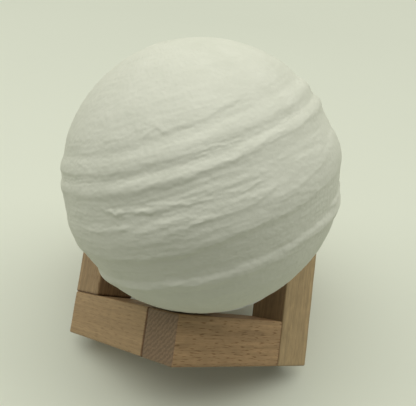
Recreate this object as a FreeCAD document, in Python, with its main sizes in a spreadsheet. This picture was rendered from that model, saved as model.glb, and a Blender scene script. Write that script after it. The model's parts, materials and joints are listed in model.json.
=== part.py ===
"""Planet lamp: a printed globe with a battery light plug, resting in a ring stand of six square sticks.

Units are millimetres and degrees. +Z is up, and the origin is on the floor, on the stand's axis.
The stand is a zigzag ring along six edges of a cube whose body diagonal is upright.
The globe and the plug are drawn about the globe's centre with the planet's axis along Z,
and then leaned as one.
"""
import FreeCAD, Part
import math
import os
import Sketcher

from FreeCAD import Matrix, Placement, Rotation, Vector

# Driving dimensions
SIZES = {
    # ring stand
    "stick_width": 22.0,
    "stick_length": 68.0,
    "arris": 0.8,
    "foot_trim": 2.0,
    "dowel_diameter": 8.0,
    "dowel_length": 24.0,
    "dowel_chamfer": 1.0,
    "dowel_end_gap": 0.5,
    "glue_gap": 0.05,
    # globe
    "globe_radius": 60.7,
    "globe_wall": 2.6,
    "base_cut": 7.7,
    "globe_tilt": 35.0,
    "globe_lean": 132.5,
    "seat_gap": 0.3,
    "collar_height": 7.0,
    "collar_wall": 6.5,
    # ridges of the relief: latitude, height and cross-section radius
    "north_ridge_latitude": 24.2,
    "north_ridge_height": 0.65,
    "north_ridge_round": 9.0,
    "main_ridge_latitude": 16.4,
    "main_ridge_height": 0.75,
    "main_ridge_round": 7.0,
    "belt_ridge_latitude": 5.0,
    "belt_ridge_height": 0.45,
    "belt_ridge_round": 9.0,
    "south_ridge_latitude": -7.5,
    "south_ridge_height": 0.45,
    "south_ridge_round": 9.0,
    "low_ridge_latitude": -24.6,
    "low_ridge_height": 0.7,
    "low_ridge_round": 7.0,
    # neck ring
    "neck_bore": 16.0,
    "neck_sleeve_radius": 20.0,
    "neck_sleeve_height": 6.0,
    "neck_flange_radius": 24.0,
    "neck_flange_thickness": 1.5,
    "lug_count": 3,
    "lug_width": 7.0,
    "lug_reach": 17.5,
    "lug_thickness": 2.5,
    "lug_clearance": 0.4,
    "twist_angle": 40.0,
    # plug housing
    "plug_gap": 0.3,
    "housing_wall": 1.5,
    "ledge_width": 1.0,
    "roof_thickness": 1.8,
    "boss_offset": 11.6,
    "boss_radius": 2.0,
    "boss_height": 8.0,
    "rib_height": 6.0,
    # base cap
    "cap_radius": 22.5,
    "cap_thickness": 3.0,
    "cap_round": 1.2,
    "notch_count": 12,
    "notch_radius": 2.5,
    "notch_depth": 0.9,
    "board_space": 4.7,
    # boards
    "board_thickness": 1.6,
    "board_clearance": 0.2,
    "led_board_radius": 15.0,
    "led_count": 8,
    "led_ring_radius": 8.5,
    "led_width": 2.8,
    "led_length": 3.5,
    "led_height": 0.8,
    # screws
    "screw_radius": 0.9,
    "screw_clearance": 0.2,
    "thread_gap": 0.05,
    "screw_head_radius": 1.9,
    "screw_head_height": 1.4,
    "screw_head_sink": 0.2,
    "screw_bite": 6.0,
    # battery
    "cell_radius": 7.1,
    "cell_length": 49.5,
    "cell_clearance": 0.3,
    "cell_end_gap": 0.2,
    "holder_wall": 1.5,
    "holder_floor": 1.2,
    "holder_height": 12.0,
    "tab_width": 4.0,
    "tab_thickness": 0.2,
    "tab_clearance": 0.5,
    # button and switch
    "button_radius": 5.0,
    "button_clearance": 0.3,
    "button_proud": 0.3,
    "button_flange": 1.2,
    "button_flange_thickness": 0.7,
    "button_seat_gap": 0.2,
    "button_round": 0.5,
    "button_travel": 0.6,
    "switch_width": 6.0,
    "switch_height": 2.5,
    "plunger_radius": 1.75,
    "plunger_gap": 0.1,
    "plunger_engagement": 0.9,
    "plunger_end_gap": 0.4,
    # charging socket, indicator and other board pieces
    "socket_offset": 10.2,
    "socket_radius": 3.4,
    "socket_bore": 1.8,
    "socket_floor": 1.0,
    "socket_sink": 0.4,
    "socket_clearance": 0.2,
    "pin_radius": 0.65,
    "pin_length": 5.0,
    "pipe_offset": 10.0,
    "pipe_radius": 1.2,
    "pipe_flange": 0.7,
    "pipe_flange_thickness": 0.8,
    "pipe_clearance": 0.1,
    "indicator_length": 2.0,
    "indicator_width": 1.2,
    "indicator_height": 0.8,
    "chip_length": 4.0,
    "chip_width": 5.0,
    "chip_height": 1.5,
    "chip_x": 7.2,
    "chip_y": -3.5,
    "inductor_side": 4.0,
    "inductor_height": 2.0,
    "inductor_x": -7.0,
    "inductor_y": 4.0,
    # wires
    "wire_radius": 0.6,
    "wire_clearance": 0.2,
    "wire_spacing": 3.0,
    "wire_offset": 11.0,
}

document = FreeCAD.newDocument("planet_lamp")
sheet = document.addObject("Spreadsheet::Sheet", "Sizes")
for row, (alias, value) in enumerate(SIZES.items(), start=1):
    sheet.set(f"A{row}", alias)
    sheet.set(f"B{row}", str(value))
    sheet.setAlias(f"B{row}", alias)
document.recompute()


def size(alias):
    """The number in the sheet's cell."""
    return float(sheet.get(alias))


# Heights along the planet's axis, as formulas of the sheet, from the globe's centre
FLAT = "(Sizes.base_cut - Sizes.globe_radius)"
RING_BOTTOM = f"({FLAT} - Sizes.neck_flange_thickness)"
RING_TOP = f"({FLAT} + Sizes.neck_sleeve_height)"
CAP_TOP = f"({RING_BOTTOM} - Sizes.plug_gap)"
CAP_BOTTOM = f"({CAP_TOP} - Sizes.cap_thickness)"
BOARD_BOTTOM = f"({CAP_TOP} + Sizes.board_space)"
BOARD_TOP = f"({BOARD_BOTTOM} + Sizes.board_thickness)"
LUG_BOTTOM = f"({RING_TOP} + Sizes.plug_gap)"
CELL_BOTTOM = f"({BOARD_TOP} + Sizes.holder_floor + Sizes.tab_thickness)"
CELL_TOP = f"({CELL_BOTTOM} + Sizes.cell_length)"
CEILING = f"({CELL_TOP} + Sizes.tab_thickness + Sizes.cell_end_gap)"
HOUSING_TOP = f"({CEILING} + Sizes.roof_thickness)"
LED_BOARD_TOP = f"({HOUSING_TOP} + Sizes.board_thickness)"
FLANGE_BOTTOM = f"({CAP_TOP} + Sizes.button_seat_gap)"
FLANGE_TOP = f"({FLANGE_BOTTOM} + Sizes.button_flange_thickness)"
SWITCH_BOTTOM = f"({BOARD_BOTTOM} - Sizes.switch_height)"
HEAD_SEAT = f"({CAP_BOTTOM} + Sizes.screw_head_sink + Sizes.screw_head_height)"

# Radii about the planet's axis, as formulas of the sheet
HOUSING_RADIUS = "(Sizes.neck_bore - Sizes.plug_gap)"
LOWER_BORE = f"({HOUSING_RADIUS} - Sizes.housing_wall)"
UPPER_BORE = f"({LOWER_BORE} - Sizes.ledge_width)"
BOARD_RADIUS = f"({LOWER_BORE} - Sizes.board_clearance)"
OPENING_RADIUS = "(Sizes.neck_sleeve_radius + Sizes.glue_gap)"
SCREW_HOLE = "(Sizes.screw_radius + Sizes.screw_clearance)"
PILOT_HOLE = "(Sizes.screw_radius + Sizes.thread_gap)"
HEAD_HOLE = "(Sizes.screw_head_radius + Sizes.screw_clearance)"
HOLDER_BORE = "(Sizes.cell_radius + Sizes.cell_clearance)"
HOLDER_RADIUS = f"({HOLDER_BORE} + Sizes.holder_wall)"
WINDOW_WIDTH = "(Sizes.tab_width + 2 * Sizes.tab_clearance)"

# Signs of a place on either side of the axis, as they stand in a formula
SIDES = ("", "-")

NODES = []


def value_of(formula):
    """The number that a formula of the sheet gives."""
    return float(sheet.evalExpression(formula))


def globe_placement():
    """Leans the planet's axis and lifts the globe's centre to its seat on the ring."""
    reach = size("stick_width") + size("globe_radius") + size("seat_gap")
    tilt = math.radians(size("globe_tilt"))
    lean = math.radians(size("globe_lean"))
    pole = Vector(math.sin(tilt) * math.cos(lean), math.sin(tilt) * math.sin(lean), math.cos(tilt))
    centre = Vector(0, 0, math.sqrt(3) * reach - floor_height())
    return Placement(centre, Rotation(Vector(0, 0, 1), pole))


def floor_height():
    """Height of the floor along the cube's diagonal, above the cube's lowest corner."""
    return size("stick_length") / math.sqrt(3) + size("foot_trim")


def place(node, placement):
    """Keeps a finished sub-part in the list of nodes, at its place."""
    node.Placement = placement
    NODES.append(node)


def new_body(label):
    body = document.addObject("PartDesign::Body", label)
    body.Label = label
    return body


def sketch_on(body, role, height):
    """A sketch parallel to one of the body's origin planes."""
    sketch = body.newObject("Sketcher::SketchObject", body.Label + "_sketch")
    plane = next(item for item in body.Origin.OriginFeatures if item.Role == role)
    sketch.AttachmentSupport = [(plane, "")]
    sketch.MapMode = "FlatFace"
    sketch.setExpression("AttachmentOffset.Base.z", height)
    return sketch


def constrain(sketch, formula, kind, *places):
    """Adds a dimension that follows a formula of the sheet."""
    index = sketch.addConstraint(Sketcher.Constraint(kind, *places, value_of(formula)))
    sketch.setExpression(f"Constraints[{index}]", formula)


def draw_circle(sketch, radius, x="0", y="0"):
    centre = Vector(value_of(x), value_of(y), 0)
    circle = sketch.addGeometry(Part.Circle(centre, Vector(0, 0, 1), value_of(radius)), False)
    constrain(sketch, radius, "Radius", circle)
    constrain(sketch, x, "DistanceX", -1, 1, circle, 3)
    constrain(sketch, y, "DistanceY", -1, 1, circle, 3)


def draw_rectangle(sketch, left, bottom, right, top):
    corners = [(left, bottom), (right, bottom), (right, top), (left, top)]
    points = [Vector(value_of(x), value_of(y), 0) for x, y in corners]
    lines = []
    for number in range(4):
        line = Part.LineSegment(points[number], points[(number + 1) % 4])
        lines.append(sketch.addGeometry(line, False))
    for number in range(4):
        following = lines[(number + 1) % 4]
        sketch.addConstraint(Sketcher.Constraint("Coincident", lines[number], 2, following, 1))
    for number, kind in enumerate(("Horizontal", "Vertical", "Horizontal", "Vertical")):
        sketch.addConstraint(Sketcher.Constraint(kind, lines[number]))
    for number in (0, 2):
        constrain(sketch, corners[number][0], "DistanceX", -1, 1, lines[number], 1)
        constrain(sketch, corners[number][1], "DistanceY", -1, 1, lines[number], 1)


def add_feature(body, kind, sketch, length, reverse=False):
    """A pad or pocket of a sketch, checked to have changed the body's volume the right way."""
    document.recompute()
    before = body.Shape.Volume if body.Tip else 0.0
    feature = body.newObject("PartDesign::" + kind, body.Label + "_" + kind.lower())
    feature.Profile = sketch
    feature.Reversed = reverse
    feature.setExpression("Length", length)
    document.recompute()
    change = body.Shape.Volume - before
    if (change <= 0) == (kind == "Pad"):
        raise RuntimeError(f"{body.Label}: a {kind} changed nothing")
    return feature


def pad_up(body, low, high, draw, *shape):
    """A pad along the axis between two heights."""
    sketch = sketch_on(body, "XY_Plane", low)
    draw(sketch, *shape)
    return add_feature(body, "Pad", sketch, f"{high} - {low}")


def pocket_up(body, low, high, draw, *shape):
    """A pocket along the axis between two heights."""
    sketch = sketch_on(body, "XY_Plane", low)
    draw(sketch, *shape)
    return add_feature(body, "Pocket", sketch, f"{high} - {low}", reverse=True)


def repeat_round(body, feature, count):
    """Repeats a feature evenly around the axis."""
    pattern = body.newObject("PartDesign::PolarPattern", body.Label + "_pattern")
    pattern.Originals = [feature]
    axis = next(item for item in body.Origin.OriginFeatures if item.Role == "Z_Axis")
    pattern.Axis = (axis, [""])
    pattern.Angle = 360
    pattern.setExpression("Occurrences", count)
    body.Tip = pattern
    document.recompute()
    return pattern


def round_edges(body, base, edges, radius):
    fillet = body.newObject("PartDesign::Fillet", body.Label + "_fillet")
    fillet.Base = (base, edges)
    fillet.setExpression("Radius", radius)
    document.recompute()


def edges_at(feature, height):
    """Names of a feature's edges that lie wholly at one height."""
    names = []
    for number, edge in enumerate(feature.Shape.Edges, start=1):
        box = edge.BoundBox
        if abs(box.ZMin - height) < 1e-4 and abs(box.ZMax - height) < 1e-4:
            names.append(f"Edge{number}")
    return names


def cylinder(label, radius, low, high, x="0", y="0"):
    item = document.addObject("Part::Cylinder", label)
    item.setExpression("Radius", radius)
    item.setExpression("Height", f"{high} - {low}")
    item.setExpression("Placement.Base.x", x)
    item.setExpression("Placement.Base.y", y)
    item.setExpression("Placement.Base.z", low)
    return item


def block(label, centre_x, centre_y, low, length, width, height):
    item = document.addObject("Part::Box", label)
    item.setExpression("Length", length)
    item.setExpression("Width", width)
    item.setExpression("Height", height)
    item.setExpression("Placement.Base.x", f"{centre_x} - {length} / 2")
    item.setExpression("Placement.Base.y", f"{centre_y} - {width} / 2")
    item.setExpression("Placement.Base.z", low)
    return item


def joined(label, base, tool, kind="Part::Fuse"):
    item = document.addObject(kind, label)
    item.Base = base
    item.Tool = tool
    return item


def group(label, items):
    """Several separate solids in one node."""
    node = document.addObject("Part::Compound", label)
    node.Label = label
    node.Links = items
    return node


# Ring stand

def cube_to_row():
    """Turns the cube's axes so that its body diagonal is upright and one high corner is in front."""
    across = Vector(1, 0, -1).normalize()
    away = Vector(-1, 2, -1).normalize()
    upright = Vector(1, 1, 1).normalize()
    turn = Matrix(across.x, across.y, across.z, 0, away.x, away.y, away.z, 0,
                  upright.x, upright.y, upright.z, 0, 0, 0, 0, 1)
    return Placement(Vector(0, 0, -floor_height()), Rotation(turn))


def ring_of_sticks():
    """Label, direction, next stick's direction and start corner of each stick, around the ring.

    Each stick starts on the side of the one before it and passes the end of the next one.
    """
    width = size("stick_width")
    length = size("stick_length")
    edge = length + width
    x_axis, y_axis, z_axis = Vector(1, 0, 0), Vector(0, 1, 0), Vector(0, 0, 1)
    return [
        ("right_foot_stick", -y_axis, z_axis, Vector(edge, length, 0)),
        ("right_head_stick", z_axis, -x_axis, Vector(edge, width, width)),
        ("left_foot_stick", -x_axis, y_axis, Vector(length, 0, edge)),
        ("left_head_stick", y_axis, -z_axis, Vector(width, width, edge)),
        ("rear_foot_stick", -z_axis, x_axis, Vector(0, edge, length)),
        ("rear_head_stick", x_axis, -y_axis, Vector(width, edge, width)),
    ]


def stick_placement(along, side, start):
    third = along.cross(side)
    turn = Matrix(along.x, side.x, third.x, 0, along.y, side.y, third.y, 0,
                  along.z, side.z, third.z, 0, 0, 0, 0, 1)
    return cube_to_row().multiply(Placement(start, Rotation(turn)))


def trim_foot(body):
    """Cuts the lowest corner of a foot stick flat, level with the floor."""
    upright = Vector(-1, 1, -1).normalize()
    corner = Vector(size("stick_length"), 0, size("stick_width"))
    cutter = body.newObject("PartDesign::SubtractiveBox", body.Label + "_trim")
    cutter.setExpression("Length", "2 * Sizes.stick_width")
    cutter.setExpression("Width", "2 * Sizes.stick_width")
    cutter.setExpression("Height", "2 * Sizes.stick_width")
    turn = Rotation(Vector(0, 0, 1), -upright)
    half = Vector(size("stick_width"), size("stick_width"), 0)
    cutter.Placement = Placement(corner + upright * size("foot_trim") - turn.multVec(half), turn)
    document.recompute()


def make_stick(label, along, side, start):
    """A square stick with eased arrises, a dowel hole in its start and one in the side of its end."""
    body = new_body(label)
    section = sketch_on(body, "YZ_Plane", "0")
    draw_rectangle(section, "0", "0", "Sizes.stick_width", "Sizes.stick_width")
    bar = add_feature(body, "Pad", section, "Sizes.stick_length")
    round_edges(body, bar, [f"Edge{number + 1}" for number in range(12)], "Sizes.arris")
    hole_radius = "Sizes.dowel_diameter / 2 + Sizes.glue_gap"
    hole_depth = "Sizes.dowel_length / 2 + Sizes.dowel_end_gap"
    middle = "Sizes.stick_width / 2"
    end_hole = sketch_on(body, "YZ_Plane", "0")
    draw_circle(end_hole, hole_radius, middle, middle)
    add_feature(body, "Pocket", end_hole, hole_depth, reverse=True)
    side_hole = sketch_on(body, "XZ_Plane", "-Sizes.stick_width")
    draw_circle(side_hole, hole_radius, f"Sizes.stick_length - {middle}", middle)
    add_feature(body, "Pocket", side_hole, hole_depth, reverse=True)
    if "foot" in label:
        trim_foot(body)
    place(body, stick_placement(along, side, start))


def make_dowel(label, along, side, start):
    """A round dowel, half in the start of a stick and half in the side of the one before it."""
    dowel = document.addObject("Part::Cylinder", label + "_dowel")
    dowel.setExpression("Radius", "Sizes.dowel_diameter / 2")
    dowel.setExpression("Height", "Sizes.dowel_length")
    document.recompute()
    eased = document.addObject("Part::Chamfer", label + "_dowel_eased")
    eased.Base = dowel
    chamfer = size("dowel_chamfer")
    eased.Edges = [(number, chamfer, chamfer) for number in (1, 3)]
    middle = size("stick_width") / 2
    inset = Placement(Vector(-size("dowel_length") / 2, middle, middle), Rotation(Vector(0, 1, 0), 90))
    eased.Placement = stick_placement(along, side, start).multiply(inset)
    return eased


def make_stand():
    corner_dowels = []
    joining_dowels = []
    for label, along, side, start in ring_of_sticks():
        make_stick(label, along, side, start)
        dowels = joining_dowels if "foot" in label else corner_dowels
        dowels.append(make_dowel(label, along, side, start))
    place(group("corner_dowels", corner_dowels), Placement())
    place(group("joining_dowels", joining_dowels), Placement())


# Globe

def add_ridge(body, name):
    """A rounded ridge around the globe at one latitude."""
    ridge = body.newObject("PartDesign::AdditiveTorus", name)
    path = f"(Sizes.globe_radius + Sizes.{name}_height - Sizes.{name}_round)"
    ridge.setExpression("Radius1", f"{path} * cos(Sizes.{name}_latitude * 1 deg)")
    ridge.setExpression("Radius2", f"Sizes.{name}_round")
    ridge.setExpression("Placement.Base.z", f"{path} * sin(Sizes.{name}_latitude * 1 deg)")
    document.recompute()


def make_globe_shell(leaned):
    """A hollow ball with ridges, cut flat below, with a collar inside its bottom opening."""
    body = new_body("globe_shell")
    ball = body.newObject("PartDesign::AdditiveSphere", "ball")
    ball.setExpression("Radius", "Sizes.globe_radius")
    document.recompute()
    for name in ("north_ridge", "main_ridge", "belt_ridge", "south_ridge", "low_ridge"):
        add_ridge(body, name)
    hollow = body.newObject("PartDesign::SubtractiveSphere", "hollow")
    hollow.setExpression("Radius", "Sizes.globe_radius - Sizes.globe_wall")
    document.recompute()
    collar_radius = f"{OPENING_RADIUS} + Sizes.collar_wall"
    pad_up(body, FLAT, f"({FLAT} + Sizes.collar_height)", draw_circle, collar_radius)
    pocket_up(body, "(-Sizes.globe_radius)", FLAT, draw_circle, "Sizes.globe_radius")
    pocket_up(body, FLAT, "0", draw_circle, OPENING_RADIUS)
    place(body, leaned)


def make_neck_ring(leaned):
    """The bayonet ring: a flange under the globe, a sleeve in its collar and a slot for each lug."""
    body = new_body("neck_ring")
    pad_up(body, RING_BOTTOM, FLAT, draw_circle, "Sizes.neck_flange_radius")
    pad_up(body, FLAT, RING_TOP, draw_circle, "Sizes.neck_sleeve_radius")
    pocket_up(body, RING_BOTTOM, RING_TOP, draw_circle, "Sizes.neck_bore")
    half_width = "(Sizes.lug_width / 2 + Sizes.lug_clearance)"
    slot = pocket_up(body, RING_BOTTOM, RING_TOP, draw_rectangle, "0", f"-{half_width}",
                     "Sizes.lug_reach + 2 * Sizes.lug_clearance", half_width)
    repeat_round(body, slot, "Sizes.lug_count")
    place(body, leaned)


# Light plug

def make_plug_housing(leaned):
    """The tube that stands in the globe, with bayonet lugs, screw bosses and a rib round the cell's end."""
    body = new_body("plug_housing")
    pad_up(body, CAP_TOP, HOUSING_TOP, draw_circle, HOUSING_RADIUS)
    lug = pad_up(body, LUG_BOTTOM, f"({LUG_BOTTOM} + Sizes.lug_thickness)", draw_rectangle,
                 "0", "-Sizes.lug_width / 2", "Sizes.lug_reach", "Sizes.lug_width / 2")
    repeat_round(body, lug, "Sizes.lug_count")
    pocket_up(body, CAP_TOP, BOARD_TOP, draw_circle, LOWER_BORE)
    pocket_up(body, BOARD_TOP, CEILING, draw_circle, UPPER_BORE)
    rib_bottom = f"({CEILING} - Sizes.rib_height)"
    pad_up(body, rib_bottom, CEILING, draw_circle, HOLDER_RADIUS)
    pocket_up(body, rib_bottom, CEILING, draw_circle, HOLDER_BORE)
    pocket_up(body, rib_bottom, CEILING, draw_rectangle, f"-{WINDOW_WIDTH} / 2", f"-{HOLDER_RADIUS}",
              f"{WINDOW_WIDTH} / 2", HOLDER_RADIUS)
    lower_boss_top = f"({BOARD_TOP} + Sizes.boss_height)"
    upper_boss_bottom = f"({CEILING} - Sizes.boss_height)"
    for sign in SIDES:
        offset = f"{sign}Sizes.boss_offset"
        pad_up(body, BOARD_TOP, lower_boss_top, draw_circle, "Sizes.boss_radius", offset)
        pad_up(body, upper_boss_bottom, CEILING, draw_circle, "Sizes.boss_radius", offset)
        pocket_up(body, BOARD_TOP, lower_boss_top, draw_circle, PILOT_HOLE, offset)
        pocket_up(body, upper_boss_bottom, HOUSING_TOP, draw_circle, PILOT_HOLE, offset)
        pocket_up(body, CEILING, HOUSING_TOP, draw_circle, "Sizes.wire_radius + Sizes.wire_clearance",
                  f"{sign}Sizes.wire_spacing / 2", "Sizes.wire_offset")
    place(body, leaned)


def make_base_cap(leaned):
    """The disc under the globe, with grip notches, two screw posts and holes for what shows below."""
    body = new_body("base_cap")
    disc = pad_up(body, CAP_BOTTOM, CAP_TOP, draw_circle, "Sizes.cap_radius")
    round_edges(body, disc, edges_at(disc, value_of(CAP_BOTTOM)), "Sizes.cap_round")
    notch = pocket_up(body, CAP_BOTTOM, CAP_TOP, draw_circle, "Sizes.notch_radius",
                      "Sizes.cap_radius + Sizes.notch_radius - Sizes.notch_depth")
    repeat_round(body, notch, "Sizes.notch_count")
    for sign in SIDES:
        offset = f"{sign}Sizes.boss_offset"
        pad_up(body, CAP_TOP, BOARD_BOTTOM, draw_circle, "Sizes.boss_radius", offset)
        pocket_up(body, CAP_BOTTOM, HEAD_SEAT, draw_circle, HEAD_HOLE, offset)
        pocket_up(body, HEAD_SEAT, BOARD_BOTTOM, draw_circle, SCREW_HOLE, offset)
    pocket_up(body, CAP_BOTTOM, CAP_TOP, draw_circle, "Sizes.button_radius + Sizes.button_clearance")
    pocket_up(body, CAP_BOTTOM, CAP_TOP, draw_circle, "Sizes.socket_radius + Sizes.socket_clearance",
              "0", "Sizes.socket_offset")
    pocket_up(body, CAP_BOTTOM, CAP_TOP, draw_circle, "Sizes.pipe_radius + Sizes.pipe_clearance",
              "0", "-Sizes.pipe_offset")
    place(body, leaned)


def make_screws(label, seat, tip, head_side, leaned):
    """Two screws whose heads bear on one height and whose shanks reach another."""
    screws = []
    for sign in SIDES:
        offset = f"{sign}Sizes.boss_offset"
        head_end = f"({seat} + {head_side} * Sizes.screw_head_height)"
        low, high = (head_end, seat) if head_side < 0 else (seat, head_end)
        shank_low, shank_high = (seat, tip) if head_side < 0 else (tip, seat)
        head = cylinder(label + "_head", "Sizes.screw_head_radius", low, high, offset)
        shank = cylinder(label + "_shank", "Sizes.screw_radius", shank_low, shank_high, offset)
        screws.append(joined(label + "_screw", head, shank))
    place(group(label, screws), leaned)


def make_circuit_board(leaned):
    body = new_body("circuit_board")
    pad_up(body, BOARD_BOTTOM, BOARD_TOP, draw_circle, BOARD_RADIUS)
    for sign in SIDES:
        pocket_up(body, BOARD_BOTTOM, BOARD_TOP, draw_circle, SCREW_HOLE, f"{sign}Sizes.boss_offset")
    place(body, leaned)


def make_charge_socket(leaned):
    """A round jack under the board, open downwards through the cap, with a contact pin in its bore."""
    mouth = f"({CAP_BOTTOM} + Sizes.socket_sink)"
    bore_end = f"({BOARD_BOTTOM} - Sizes.socket_floor)"
    body = new_body("charge_socket")
    pad_up(body, mouth, BOARD_BOTTOM, draw_circle, "Sizes.socket_radius", "0", "Sizes.socket_offset")
    pocket_up(body, mouth, bore_end, draw_circle, "Sizes.socket_bore", "0", "Sizes.socket_offset")
    place(body, leaned)
    pin = cylinder("charge_pin", "Sizes.pin_radius", f"({bore_end} - Sizes.pin_length)", bore_end,
                   "0", "Sizes.socket_offset")
    place(group("charge_contact", [pin]), leaned)


def make_switch(leaned):
    """A tactile switch under the board, the plunger in it and the button that presses the plunger."""
    body = new_body("switch_body")
    half = "Sizes.switch_width / 2"
    pad_up(body, SWITCH_BOTTOM, BOARD_BOTTOM, draw_rectangle, f"-{half}", f"-{half}", half, half)
    depth = "(Sizes.plunger_engagement + Sizes.button_travel + Sizes.plunger_end_gap)"
    pocket_up(body, SWITCH_BOTTOM, f"({SWITCH_BOTTOM} + {depth})", draw_circle,
              "Sizes.plunger_radius + Sizes.plunger_gap")
    place(body, leaned)

    plunger = new_body("switch_plunger")
    pad_up(plunger, FLANGE_TOP, f"({SWITCH_BOTTOM} + Sizes.plunger_engagement)", draw_circle,
           "Sizes.plunger_radius")
    place(plunger, leaned)

    button = new_body("power_button")
    face = f"({CAP_BOTTOM} - Sizes.button_proud)"
    knob = pad_up(button, face, FLANGE_BOTTOM, draw_circle, "Sizes.button_radius")
    round_edges(button, knob, edges_at(knob, value_of(face)), "Sizes.button_round")
    pad_up(button, FLANGE_BOTTOM, FLANGE_TOP, draw_circle, "Sizes.button_radius + Sizes.button_flange")
    place(button, leaned)


def make_indicator(leaned):
    """A clear light pipe in the cap, below a small LED on the board."""
    led_bottom = f"({BOARD_BOTTOM} - Sizes.indicator_height)"
    body = new_body("indicator_pipe")
    pad_up(body, CAP_BOTTOM, f"({led_bottom} - Sizes.pipe_clearance)", draw_circle,
           "Sizes.pipe_radius", "0", "-Sizes.pipe_offset")
    pad_up(body, CAP_TOP, f"({CAP_TOP} + Sizes.pipe_flange_thickness)", draw_circle,
           "Sizes.pipe_radius + Sizes.pipe_flange", "0", "-Sizes.pipe_offset")
    place(body, leaned)
    led = block("indicator_chip", "0", "-Sizes.pipe_offset", led_bottom, "Sizes.indicator_length",
                "Sizes.indicator_width", "Sizes.indicator_height")
    place(group("indicator_led", [led]), leaned)


def make_board_pieces(leaned):
    chip = block("charge_circuit", "Sizes.chip_x", "Sizes.chip_y", f"{BOARD_BOTTOM} - Sizes.chip_height",
                 "Sizes.chip_length", "Sizes.chip_width", "Sizes.chip_height")
    place(group("charge_chip", [chip]), leaned)
    coil = block("coil_block", "Sizes.inductor_x", "Sizes.inductor_y",
                 f"{BOARD_BOTTOM} - Sizes.inductor_height",
                 "Sizes.inductor_side", "Sizes.inductor_side", "Sizes.inductor_height")
    place(group("inductor", [coil]), leaned)


def make_battery(leaned):
    """A round cell in a cup on the board, with a flat tab from each end down to the board."""
    holder = new_body("battery_holder")
    cup_top = f"({BOARD_TOP} + Sizes.holder_floor + Sizes.holder_height)"
    floor_top = f"({BOARD_TOP} + Sizes.holder_floor)"
    pad_up(holder, BOARD_TOP, cup_top, draw_circle, HOLDER_RADIUS)
    pocket_up(holder, floor_top, cup_top, draw_circle, HOLDER_BORE)
    for low, high in (("Sizes.cell_radius", HOLDER_RADIUS), (f"-{HOLDER_RADIUS}", "-Sizes.cell_radius")):
        pocket_up(holder, BOARD_TOP, cup_top, draw_rectangle,
                  f"-{WINDOW_WIDTH} / 2", low, f"{WINDOW_WIDTH} / 2", high)
    place(holder, leaned)

    cell = new_body("battery_cell")
    can = pad_up(cell, CELL_BOTTOM, CELL_TOP, draw_circle, "Sizes.cell_radius")
    ends = edges_at(can, value_of(CELL_BOTTOM)) + edges_at(can, value_of(CELL_TOP))
    round_edges(cell, can, ends, "Sizes.cell_clearance")
    place(cell, leaned)

    reach = "(Sizes.cell_radius + 2 * Sizes.tab_clearance)"
    top_tab = make_tab("top_tab", CELL_TOP, f"{reach} / 2", f"({reach} - Sizes.tab_thickness / 2)", reach)
    low_tab = make_tab("low_tab", floor_top, f"-{reach} / 2", f"(-{reach} + Sizes.tab_thickness / 2)", reach)
    place(group("battery_tabs", [top_tab, low_tab]), leaned)


def make_tab(label, height, foot_centre, leg_centre, reach):
    """A strip across the cell's end and down its side to the board."""
    foot = block(label + "_foot", "0", foot_centre, height, "Sizes.tab_width", reach, "Sizes.tab_thickness")
    leg = block(label + "_leg", "0", leg_centre, BOARD_TOP, "Sizes.tab_width", "Sizes.tab_thickness",
                f"({height} + Sizes.tab_thickness - {BOARD_TOP})")
    return joined(label, foot, leg)


def make_led_board(leaned):
    """The round board on the housing, with its LEDs in a ring and its wires from below."""
    body = new_body("led_board")
    pad_up(body, HOUSING_TOP, LED_BOARD_TOP, draw_circle, "Sizes.led_board_radius")
    for sign in SIDES:
        pocket_up(body, HOUSING_TOP, LED_BOARD_TOP, draw_circle, SCREW_HOLE, f"{sign}Sizes.boss_offset")
        pocket_up(body, HOUSING_TOP, LED_BOARD_TOP, draw_circle, "Sizes.wire_radius + Sizes.wire_clearance",
                  f"{sign}Sizes.wire_spacing / 2", "Sizes.wire_offset")
    place(body, leaned)

    leds = []
    count = int(size("led_count"))
    for number in range(count):
        led = document.addObject("Part::Box", "led")
        led.setExpression("Length", "Sizes.led_width")
        led.setExpression("Width", "Sizes.led_length")
        led.setExpression("Height", "Sizes.led_height")
        inset = Vector(size("led_ring_radius") - size("led_width") / 2, -size("led_length") / 2,
                       value_of(LED_BOARD_TOP))
        turn = Rotation(Vector(0, 0, 1), 360.0 / count * (number + 0.5))
        led.Placement = Placement(turn.multVec(inset), turn)
        leds.append(led)
    place(group("led_chips", leds), leaned)

    wires = [cylinder("wire", "Sizes.wire_radius", BOARD_TOP, LED_BOARD_TOP,
                      f"{sign}Sizes.wire_spacing / 2", "Sizes.wire_offset") for sign in SIDES]
    place(group("led_wires", wires), leaned)


def make_plug(leaned):
    """Everything that turns as one in the neck ring, turned back from its slots by the twist."""
    locked = leaned.multiply(Placement(Vector(), Rotation(Vector(0, 0, 1), -size("twist_angle"))))
    make_base_cap(locked)
    make_plug_housing(locked)
    make_circuit_board(locked)
    make_screws("cap_screws", HEAD_SEAT, f"({BOARD_TOP} + Sizes.screw_bite)", -1, locked)
    make_charge_socket(locked)
    make_switch(locked)
    make_indicator(locked)
    make_board_pieces(locked)
    make_battery(locked)
    make_led_board(locked)
    make_screws("led_screws", LED_BOARD_TOP, f"({HOUSING_TOP} - Sizes.screw_bite)", 1, locked)


def check_and_write():
    """Stops on any failed object or shape, then writes one file for each node."""
    document.recompute()
    for item in document.Objects:
        if "Invalid" in item.State or "Error" in item.State:
            raise RuntimeError(f"{item.Label} failed: {item.State}")
    for node in NODES:
        if node.Shape.isNull() or not node.Shape.isValid() or not node.Shape.Solids:
            raise RuntimeError(f"{node.Label} has no valid solid")
    os.makedirs("parts", exist_ok=True)
    for node in NODES:
        node.Shape.exportStep(f"parts/{node.Label}.step")


make_stand()
globe_place = globe_placement()
make_globe_shell(globe_place)
make_neck_ring(globe_place)
make_plug(globe_place)
check_and_write()
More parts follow.
